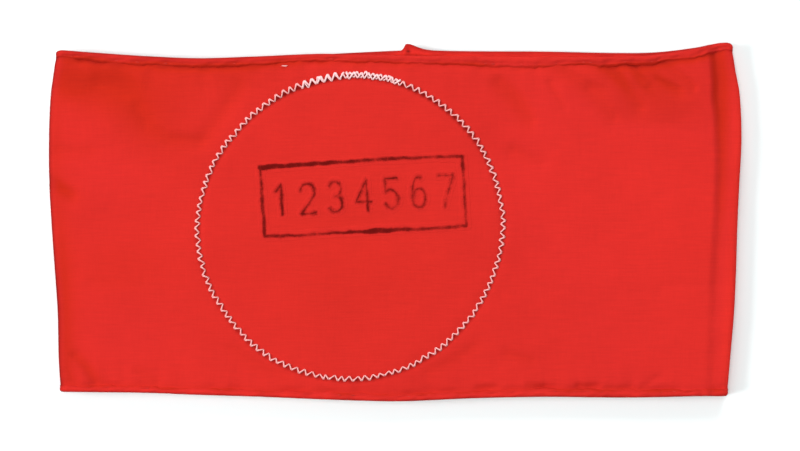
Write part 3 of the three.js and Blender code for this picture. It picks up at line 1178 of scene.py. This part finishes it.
def hem_tint(around, hem, rows):
    """The colour factors of a hem's points, mostly painted shade and painted light."""
    insets = np.array([row.inset for row in rows])
    under = np.array([row.proud < HEM_UNDER for row in rows])
    upper = hem is UPPER
    section = section_at(around)
    x = face_x(section, edge_y(around, hem))
    back = behind(section)[:, None]
    tab = ear(section)[:, None]
    covered = smooth_step(back_rise(x) * section.lift * upper)[:, None]
    # Painted shade along the turned edges, stronger on the back layer and fading where it shows past the
    # front
    rim = HEM_RIM_SHADE * np.where(back, BACK_RIM_SHARE, 1 - covered)
    rim = rim * bell(insets, np.where(back, BACK_RIM_REACH, hem.rim_reach))
    # Painted shade on the hem's inner strip
    inner = HEM_INNER_SHADE * grown(insets, *INNER_GROWS)
    # Painted light on the hem's inside where the back layer shows, set against the shade by the front
    # layer's edge
    inside = (1 - EAR_INSIDE * tab) * HEM_INSIDE_LIGHT * under
    deep = (1 - EAR_DEEP_INSIDE * tab) * HEM_DEEP_INSIDE_LIGHT * grown(insets, *DEEP_GROWS) * under
    # Painted shade in the ear's small hollow
    spot = EAR_HOLLOW_SHADE * upper * ear_spot(section)[:, None] * bell(insets - SPOT_INSET, SPOT_REACH) * under
    uneven = waves_along(around, HEM_MOTTLE, hem.up)
    # Painted shade on the upper hem beside its groove, less from an X on
    taken = upper * (HEM_GROOVE_SHADE - HEM_GROOVE_SHADE_LESS * smooth_step(x / HEM_GROOVE_SHADE_X))
    along = (HEM_PALE - taken * read(TURNS, "soil", x)) * section.lift + fold_shading(section) + uneven
    change = rim + inner + (inside + deep) * back + spot + along[:, None]
    return tint_of(change, flatness(section)[:, None] * grown(insets, *WARM_GROWS))


def hem_cloth(name, hem):
    half_tab = 14
    middle = back_place(EAR_X)
    around = stations([
        (middle - LOOP + half_tab, -FOLD_ARC, 1.3),
        (-FOLD_ARC, 0, 0.6),
        (0, FLAT_WIDTH, 0.62),
        (FLAT_WIDTH, FLAT_WIDTH + FOLD_ARC, 0.6),
        (FLAT_WIDTH + FOLD_ARC, middle - half_tab, 1.3),
        (middle - half_tab, middle + half_tab, 0.35),
    ])[:-1]
    rows = HEM_PROFILE[::hem.up]
    sections = [hem_section(around, hem, row) for row in rows]
    points = np.stack(sections + [sections[0]], 1)
    walk = np.linalg.norm(np.diff(points, axis=1), axis=2).cumsum(1)
    cloth = np.stack([around[:, None] + 0 * walk, edge_y(around, hem)[:, None] + walk], -1).reshape(-1, 2)
    faces = grid_faces(len(around), len(rows), closed=True)
    tint = hem_tint(around, hem, rows)
    return new_piece(name, points[:, :-1].reshape(-1, 3), faces, hem_cotton, cloth, tint=tint)


def hem_stitches(name, hem):
    chance = np.random.default_rng(STITCH_SEED + hem.up)
    count = int(LOOP / STITCH_STEP)
    middle = (np.arange(count) + 0.5) * LOOP / count + chance.uniform(-STITCH_SLIP, STITCH_SLIP, count)
    middle = middle[np.abs(np.mod(middle, LOOP) - back_place(EAR_X)) > EAR_CLEAR]
    inset = STITCH_INSET + chance.uniform(-STITCH_STRAY, STITCH_STRAY, len(middle))
    half = STITCH_LENGTH / 2
    start = np.stack([middle - half, inset], -1)
    end = np.stack([middle + half, inset + chance.uniform(-STITCH_STRAY, STITCH_STRAY, len(middle))], -1)
    places, height = arched(start, end, STITCH_POINTS, STITCH_RISE, STITCH_SINK)
    around = places[..., 0]
    across = hem_y(around, hem, places[..., 1])
    lift = section_at(around).lift
    proud = -STITCH_BED + height[None, :] * np.maximum(lift, STITCH_LEAST)
    lines = cloth_point(around, across, np.where(lift > 0.5, proud, proud - BACK_SINK))
    return threads(name, lines, STITCH_THREAD, red_thread, STITCH_THREAD_SEED + hem.up, sides=6)


# The seam at the back

# Half of its section, from its middle out: how far to the side, and how far its faces stand off the band's
SEAM_PROFILE = table("off under above", [
    (0.0, -0.34, -1.05),
    (0.16, -0.14, -1.2),
    (0.5, -0.03, -1.25),
    (1.2, 0.0, -1.22),
    (2.6, 0.0, -1.18),
    (SEAM_WIDTH / 2 - 0.1, 0.0, -1.1),
    (SEAM_WIDTH / 2 + 0.7, -0.06, -0.95),
    (SEAM_WIDTH / 2 + 0.8, -0.5, -0.6),
])
SEAM_ROWS = 81


def back_seam_cloth():
    """The joined ends of the strip, pressed open: a line in the middle, and on each side an allowance whose
    cut edge lies flat under the band."""
    off, under, above = np.array(SEAM_PROFILE).T
    around = back_place(SEAM_X) + np.concatenate([-off[:0:-1], off])
    across, _, _ = band_across(around, np.linspace(0, 1, SEAM_ROWS))
    place = around[:, None] + waves_along(across, SEAM_WANDER)
    skins = [cloth_point(place, across, np.concatenate([face[:0:-1], face])[:, None])
             for face in (under, above)]
    return thick_sheet("back_seam_cloth", *skins, np.stack([place, across], -1), seam_cotton, 1)


# The ring

# How uneven the stitches are, how their line wanders, and how far their ends go down into the cloth
RING_UNEVEN = 0.16
RING_WANDER = Waves(0.10, 25, 7)
ZIGZAG_POINTS = 12
ZIGZAG_SINK = 0.42

# A stitch's thickness at the inner edge, how much more it has at the outer one, and where that grows
TURN_THIN = 0.90
TURN_THICKER = 0.38
TURN_GROWS = (0.50, 0.35)

# The stitches' tone where they were sewn once and twice, and how much it varies
ONCE_TONE = 0.12
TWICE_TONE = 0.95
TONE_VARIES = 0.12

RING_SEED = 91
RING_THREAD = 0.235
RING_RISE = 0.34
OVERLAP_THREAD = 0.28
OVERLAP_RISES = (0.46, 0.54)

# Where the zigzag was sewn twice: from and to in degrees, how far the second run is shifted in stitches,
# and its swing as a share of the first one's.
OVERLAPS = table("start end shift swing", [
    (-19.5, -2.5, 0.15, 1.05),
    (-3.0, 17.6, 0.46, 1.0),
])


def ring_place(angle, swing):
    """A place on the front, by the angle in degrees clockwise from the ring's top and the swing outwards."""
    radius = ring_value("radius", angle) + swing
    turn = np.radians(angle)
    return np.stack([RING_X + radius * np.sin(turn), RING_Y + radius * np.cos(turn)], -1)


def zigzag(name, start, end, shift, swing, rise, radius, seed):
    """A run of zigzag stitches from one angle to another. A shift of 0.5 crosses the first run's stitches,
    and the thread is thickest where it turns back at the ring's outer edge."""
    chance = np.random.default_rng(seed)
    half_step = 360 / RING_STITCHES / 2
    index = np.arange(round(start / half_step), round(end / half_step) + 1)
    count = len(index)
    side = np.where(index % 2 == 0, 1, -1)
    angle = (index + 2 * shift + chance.normal(0, RING_UNEVEN, count)) * half_step
    reach = side * swing * ring_value("swing", angle) * (1 + chance.normal(0, RING_UNEVEN, count))
    needle = ring_place(angle, reach + waves_along(angle, RING_WANDER, seed))
    if end - start >= 360:
        needle[-1] = needle[0]
    places, height = arched(needle[:-1], needle[1:], ZIGZAG_POINTS, rise, ZIGZAG_SINK)
    lines = front_point(places[..., 0], places[..., 1], height[None, :] + 0 * places[..., 0])
    share = np.linspace(0, 1, ZIGZAG_POINTS)
    outward = np.where(side[:-1, None] > 0, 1 - share, share)
    thick = TURN_THIN + TURN_THICKER * grown(outward, *TURN_GROWS)
    degrees = index[:-1] * half_step
    twice = np.any([(degrees - turn.start) % 360 < turn.end - turn.start for turn in OVERLAPS], 0)
    tone = np.where(twice, TWICE_TONE, ONCE_TONE) + chance.uniform(-TONE_VARIES, TONE_VARIES, count - 1)
    return threads(name, lines, radius, white_thread, seed, thick=thick, tone=np.clip(tone, 0, 1))


# The frayed end of thread on the upper hem: its place, the share of each fibre that lies back from it, how
# far apart and how deep they start, and how far each fibre reaches, leans and rises
LOOSE_PLACE = (-33.4, 46.7, 0.2)
LOOSE_THREAD = 0.10
LOOSE_POINTS = 8
LOOSE_BACK = 0.35
LOOSE_APART = 0.15
LOOSE_SINK = 0.15
LOOSE_ARCH = 0.8
LOOSE_FIBRES = [(1.92, 0.08, 0.4), (1.44, -0.12, 0.25)]
LOOSE_SEED = 81


def loose_end():
    middle = front_point(*[np.array([value]) for value in LOOSE_PLACE])[0]
    share = np.linspace(0, 1, LOOSE_POINTS)
    lines = []
    for k, (reach, lean, rise) in enumerate(LOOSE_FIBRES):
        x = middle[0] + reach * (share - LOOSE_BACK)
        y = middle[1] + lean * share**2 - LOOSE_APART * k * share
        z = middle[2] - LOOSE_SINK + rise * np.sin(math.pi * share * LOOSE_ARCH)
        lines.append(np.stack([x, y, z], -1))
    return threads("loose_thread", lines, LOOSE_THREAD, white_thread, LOOSE_SEED, sides=6)


# The stamp

STAMP_X = -9.5
STAMP_Y = 7.6
STAMP_TURN = math.radians(3.3)
STAMP_WIDTH = 61.1
STAMP_HEIGHT = 21.1
STAMP_MARGIN = 1.5
STAMP_CELL = 0.22

# How far the ink fades out, from how far inside a stroke's edge, and its haze round the strokes
STAMP_REACH = 0.95
STAMP_INSIDE = 0.35
HAZE_REACH = 1.2
FRAME_HAZE = 0.28
NUMBER_HAZE = 0.44

# How uneven the strokes' course, the pressure and the ink itself are
SHAKE_ACROSS = Waves(0.10, 5.0, 0)
SHAKE_UP = Waves(0.10, 4.0, 1)
PRESSURE = Waves(0.07, 13, 2)
BLOTCHES = Waves(1, 3.5, 3)
BLOTCH_PRESS = 0.08
BLOTCH_HAZE = 0.10
PRESS_LEAST = 0.1
PRESS_MOST = 1.2

FILM = 0.03
FILM_SUNK = 0.2
FRAME_SEED = 101
NUMBER_SEED = 111

# The numbers, whose strokes get thinner and fainter towards the right
NUMBER_HEIGHT = 9.1
NUMBER_RISE = 0.4
NUMBER_WIDTH = 4.6
NUMBER_STEP = 8.3
NUMBER_HALF = 0.33
NUMBER_THINNER = 0.08
NUMBER_PRESS = 0.74
NUMBER_FAINTER = 0.22

# A point of a stroke, across and up from the stamp's middle, with the ink's half width and strength
INK_POINT = "u v half press"

# The frame's outline clockwise from its upper left corner, uneven because the stamp pressed unevenly
STAMP_FRAME = table(INK_POINT, [
    (-30.3, 10.44, 0.72, 1.05),
    (-27, 10.44, 0.75, 1.08),
    (-21, 10.55, 0.54, 1.00),
    (-15, 10.67, 0.55, 1.00),
    (-9, 10.66, 0.50, 1.00),
    (-3, 10.72, 0.44, 0.88),
    (3, 10.75, 0.42, 0.70),
    (9, 10.75, 0.56, 0.92),
    (15, 10.67, 0.44, 0.74),
    (21, 10.58, 0.44, 0.68),
    (27, 10.4, 0.54, 0.76),
    (30.1, 10.2, 0.46, 0.78),
    (30.1, 7.5, 0.53, 0.82),
    (30.2, 2.5, 0.40, 0.63),
    (30.25, -2.5, 0.51, 0.71),
    (30.25, -7.5, 0.43, 0.63),
    (30.3, -10.6, 0.42, 0.70),
    (27, -10.62, 0.46, 0.72),
    (21, -10.72, 0.42, 0.72),
    (15, -10.65, 0.54, 0.82),
    (9, -10.45, 0.53, 0.92),
    (3, -10.55, 0.78, 1.08),
    (-3, -10.44, 0.41, 0.82),
    (-9, -10.42, 0.42, 0.76),
    (-15, -10.47, 0.42, 0.65),
    (-21, -10.55, 0.46, 0.73),
    (-27, -10.28, 0.46, 0.80),
    (-30.1, -10.1, 0.54, 0.92),
    (-30.15, -7.5, 0.56, 0.92),
    (-30.3, -2.5, 0.54, 0.80),
    (-30.35, 2.5, 0.49, 0.75),
    (-30.45, 7.5, 0.43, 0.69),
    (-30.3, 10.44, 0.50, 0.90),
])


def arc(middle_x, middle_y, wide, high, start, end, count=10):
    """Points along part of an ellipse, from one angle to another in degrees from +X towards +Y."""
    angle = np.radians(np.linspace(start, end, count))
    return list(zip(middle_x + wide * np.cos(angle), middle_y + high * np.sin(angle)))


# Plain numerals as strokes in a box one unit wide and one unit high.
NUMERALS = {
    "1": [(0.22, 0.78), (0.58, 1.0), (0.58, 0.0)],
    "2": arc(0.5, 0.72, 0.46, 0.28, 170, -30) + [(0.04, 0.0), (0.98, 0.0)],
    "3": arc(0.46, 0.75, 0.42, 0.25, 150, -90) + arc(0.46, 0.26, 0.48, 0.26, 90, -150),
    "4": [(0.74, 0.0), (0.74, 1.0), (0.02, 0.28), (1.0, 0.28)],
    "5": [(0.90, 1.0), (0.16, 1.0), (0.12, 0.55)] + arc(0.48, 0.32, 0.46, 0.32, 130, -150),
    "6": arc(0.52, 0.40, 0.46, 0.60, 75, 180) + arc(0.50, 0.30, 0.44, 0.30, 180, 520, 18),
    "7": [(0.04, 1.0), (0.96, 1.0), (0.36, 0.0)],
}


def number_strokes():
    """One stroke for each numeral, fainter and thinner towards the right."""
    strokes = []
    for k, line in enumerate(NUMERALS.values()):
        left = NUMBER_STEP * (k - (len(NUMERALS) - 1) / 2) - NUMBER_WIDTH / 2
        share = left / STAMP_WIDTH
        half = NUMBER_HALF - NUMBER_THINNER * share
        press = NUMBER_PRESS - NUMBER_FAINTER * share
        strokes.append(table(INK_POINT, [
            (left + x * NUMBER_WIDTH, NUMBER_RISE + (y - 0.5) * NUMBER_HEIGHT, half, press)
            for x, y in line]))
    return strokes


def stroke_ink(stroke, u, v):
    """How far places lie outside a stroke, and how hard the stamp pressed there."""
    outside = np.full(u.shape, np.inf)
    press = np.zeros(u.shape)
    for start, end in zip(stroke, stroke[1:]):
        share, distance, _ = off_stretch(start, end, u, v)
        off = distance - start.half - share * (end.half - start.half)
        press = np.where(off < outside, start.press + share * (end.press - start.press), press)
        outside = np.minimum(outside, off)
    return outside, press


def ink_film(name, strokes, haze, seed):
    """Ink on the cloth, as a thin film of small cells near the strokes. Its tone is the ink's strength."""
    reach_u = STAMP_WIDTH / 2 + STAMP_MARGIN
    reach_v = STAMP_HEIGHT / 2 + STAMP_MARGIN
    u, v = np.meshgrid(np.arange(-reach_u, reach_u, STAMP_CELL), np.arange(-reach_v, reach_v, STAMP_CELL),
                       indexing="ij")
    shaken_u = u + waves(u, v, SHAKE_ACROSS, seed)
    shaken_v = v + waves(u, v, SHAKE_UP, seed)
    off = np.full(u.shape, np.inf)
    press = np.zeros(u.shape)
    for stroke in strokes:
        outside, here = stroke_ink(stroke, shaken_u, shaken_v)
        press = np.where(outside < off, here, press)
        off = np.minimum(off, outside)
    blotches = waves(u, v, BLOTCHES, seed)
    pressed = press + waves(u, v, PRESSURE, seed) + BLOTCH_PRESS * blotches
    strength = np.clip(pressed, PRESS_LEAST, PRESS_MOST) * (1 - grown(off, -STAMP_INSIDE, STAMP_REACH))
    smudge = (haze + BLOTCH_HAZE * blotches) * (1 - smooth_step(off / HAZE_REACH))
    near = off < HAZE_REACH
    keep = near[:-1, :-1] | near[1:, :-1] | near[:-1, 1:] | near[1:, 1:]
    cos, sin = math.cos(STAMP_TURN), math.sin(STAMP_TURN)
    x = STAMP_X + u * cos - v * sin
    y = STAMP_Y + u * sin + v * cos
    return film(name, x, y, np.maximum(strength, smudge), keep)


def film(name, x, y, tone, keep):
    """A closed film over the cloth, made of a grid's kept cells."""
    cells = np.argwhere(keep)
    columns = x.shape[1]
    a = cells[:, 0] * columns + cells[:, 1]
    quads = np.stack([a, a + columns, a + columns + 1, a + 1], -1)
    used, packed = np.unique(quads, return_inverse=True)
    quads = packed.reshape(-1, 4)
    x, y, tone = (values.ravel()[used] for values in (x, y, tone))
    count = len(used)
    inside = np.bincount(quads.ravel(), minlength=count) == 4
    top = front_point(x, y, np.where(inside, FILM, -FILM))
    base = front_point(x, y, np.full(x.shape, -FILM_SUNK))
    faces = quads.tolist() + (quads[:, ::-1] + count).tolist()
    smooth = len(faces)
    edges = dict.fromkeys((quad[k - 1], quad[k]) for quad in quads.tolist() for k in (1, 2, 3, 0))
    rim = [(p, q) for p, q in edges if (q, p) not in edges]
    faces += [(q, p, p + count, q + count) for p, q in rim]
    cloth = np.stack([np.tile(x + FLAT_WIDTH / 2, 2), np.tile(y, 2)], -1)
    points = np.concatenate([top, base])
    return new_piece(name, points, faces, stamped_cotton, cloth, np.tile(tone, 2), flat_from=smooth)


# Putting it together

band = band_cloth()
upper_hem = hem_cloth("upper_hem_cloth", UPPER)
lower_hem = hem_cloth("lower_hem_cloth", LOWER)
back_seam = back_seam_cloth()
upper_stitches = hem_stitches("upper_hem_stitches", UPPER)
lower_stitches = hem_stitches("lower_hem_stitches", LOWER)
ring = zigzag("ring_stitches", 0, 360, 0, 1.0, RING_RISE, RING_THREAD, RING_SEED)
overlaps = [
    zigzag(f"ring_overlap_{k + 1}", *turn, OVERLAP_RISES[k], OVERLAP_THREAD, RING_SEED + 1 + k)
    for k, turn in enumerate(OVERLAPS)
]
loose = loose_end()
stamp_frame = ink_film("stamp_frame", [STAMP_FRAME], FRAME_HAZE, FRAME_SEED)
stamp_numbers = ink_film("stamp_numbers", number_strokes(), NUMBER_HAZE, NUMBER_SEED)

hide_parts("band")
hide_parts("upper_hem")
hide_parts("lower_hem")
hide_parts("back_seam")

SLOTS = {
    "red_cotton": [band],
    "hem_cotton": [upper_hem, lower_hem],
    "seam_cotton": [back_seam],
    "sewing_thread": [upper_stitches, lower_stitches],
    "ring_thread": [ring, loose, *overlaps],
    "stamp_ink": [stamp_frame, stamp_numbers],
}
for slot, pieces in SLOTS.items():
    for piece in pieces:
        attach(piece, "root")


# The floor, lights and camera, in metres

FLOOR_REACH = 1.6
FLOOR_DROP = 0.02 * MM
FLOOR_GREY = 0.95
FLOOR_ROUGHNESS = 0.9
VIEW_WIDTH = 0.240
VIEW_MIDDLE = (1.425 * MM, -1.095 * MM)
LENS_LENGTH = 200
SENSOR_WIDTH = 36
NEAREST = 0.05
SKY_STRENGTH = 0.30

COOL = (0.945, 1.0, 1.0)
COOLER = (0.87, 1.0, 1.0)
LIGHTS = table("name direction distance size power colour", [
    ("overhead", (0.0, -0.05, 1.0), 2.2, 0.9, 15, COOL),
    ("key", (0.10, 1.0, 0.60), 1.8, 1.2, 27, COOLER),
    ("side", (-1.36, -0.16, 1.0), 1.8, 0.9, 28.6, COOL),
])


def floor():
    mesh = bpy.data.meshes.new("floor")
    corners = [(x * FLOOR_REACH, y * FLOOR_REACH, 0) for x, y in ((-1, -1), (1, -1), (1, 1), (-1, 1))]
    mesh.from_pydata(corners, [], [(0, 1, 2, 3)])
    material, tree = tree_of("floor_paper")
    feed(tree, tree.nodes["Principled BSDF"], {
        "Base Color": (FLOOR_GREY, FLOOR_GREY, FLOOR_GREY, 1), "Roughness": FLOOR_ROUGHNESS})
    mesh.materials.append(material)
    paper = to_scene("floor", mesh)
    paper.location.z = -FLOOR_DROP


def soft_light(row):
    """A square light that faces the armband from a direction."""
    light = bpy.data.lights.new(row.name, "AREA")
    light.size = row.size
    light.energy = row.power
    light.color = row.colour
    lamp = to_scene(row.name, light)
    away = Vector(row.direction).normalized()
    lamp.location = away * row.distance
    lamp.rotation_euler = away.to_track_quat("Z", "Y").to_euler()


def camera():
    """A long lens straight above."""
    lens = bpy.data.cameras.new("camera")
    lens.lens = LENS_LENGTH
    lens.sensor_width = SENSOR_WIDTH
    lens.clip_start = NEAREST
    eye = to_scene("camera", lens)
    eye.location = (*VIEW_MIDDLE, VIEW_WIDTH * LENS_LENGTH / SENSOR_WIDTH + RADIUS * MM)
    bpy.context.scene.camera = eye


def sky():
    world = bpy.data.worlds.new("sky")
    world.use_nodes = True
    tree = world.node_tree
    feed(tree, tree.nodes["Background"], {"Color": (*COOL, 1), "Strength": SKY_STRENGTH})
    bpy.context.scene.world = world


floor()
sky()
for row in LIGHTS:
    soft_light(row)
camera()
bpy.context.scene.view_settings.view_transform = "Standard"
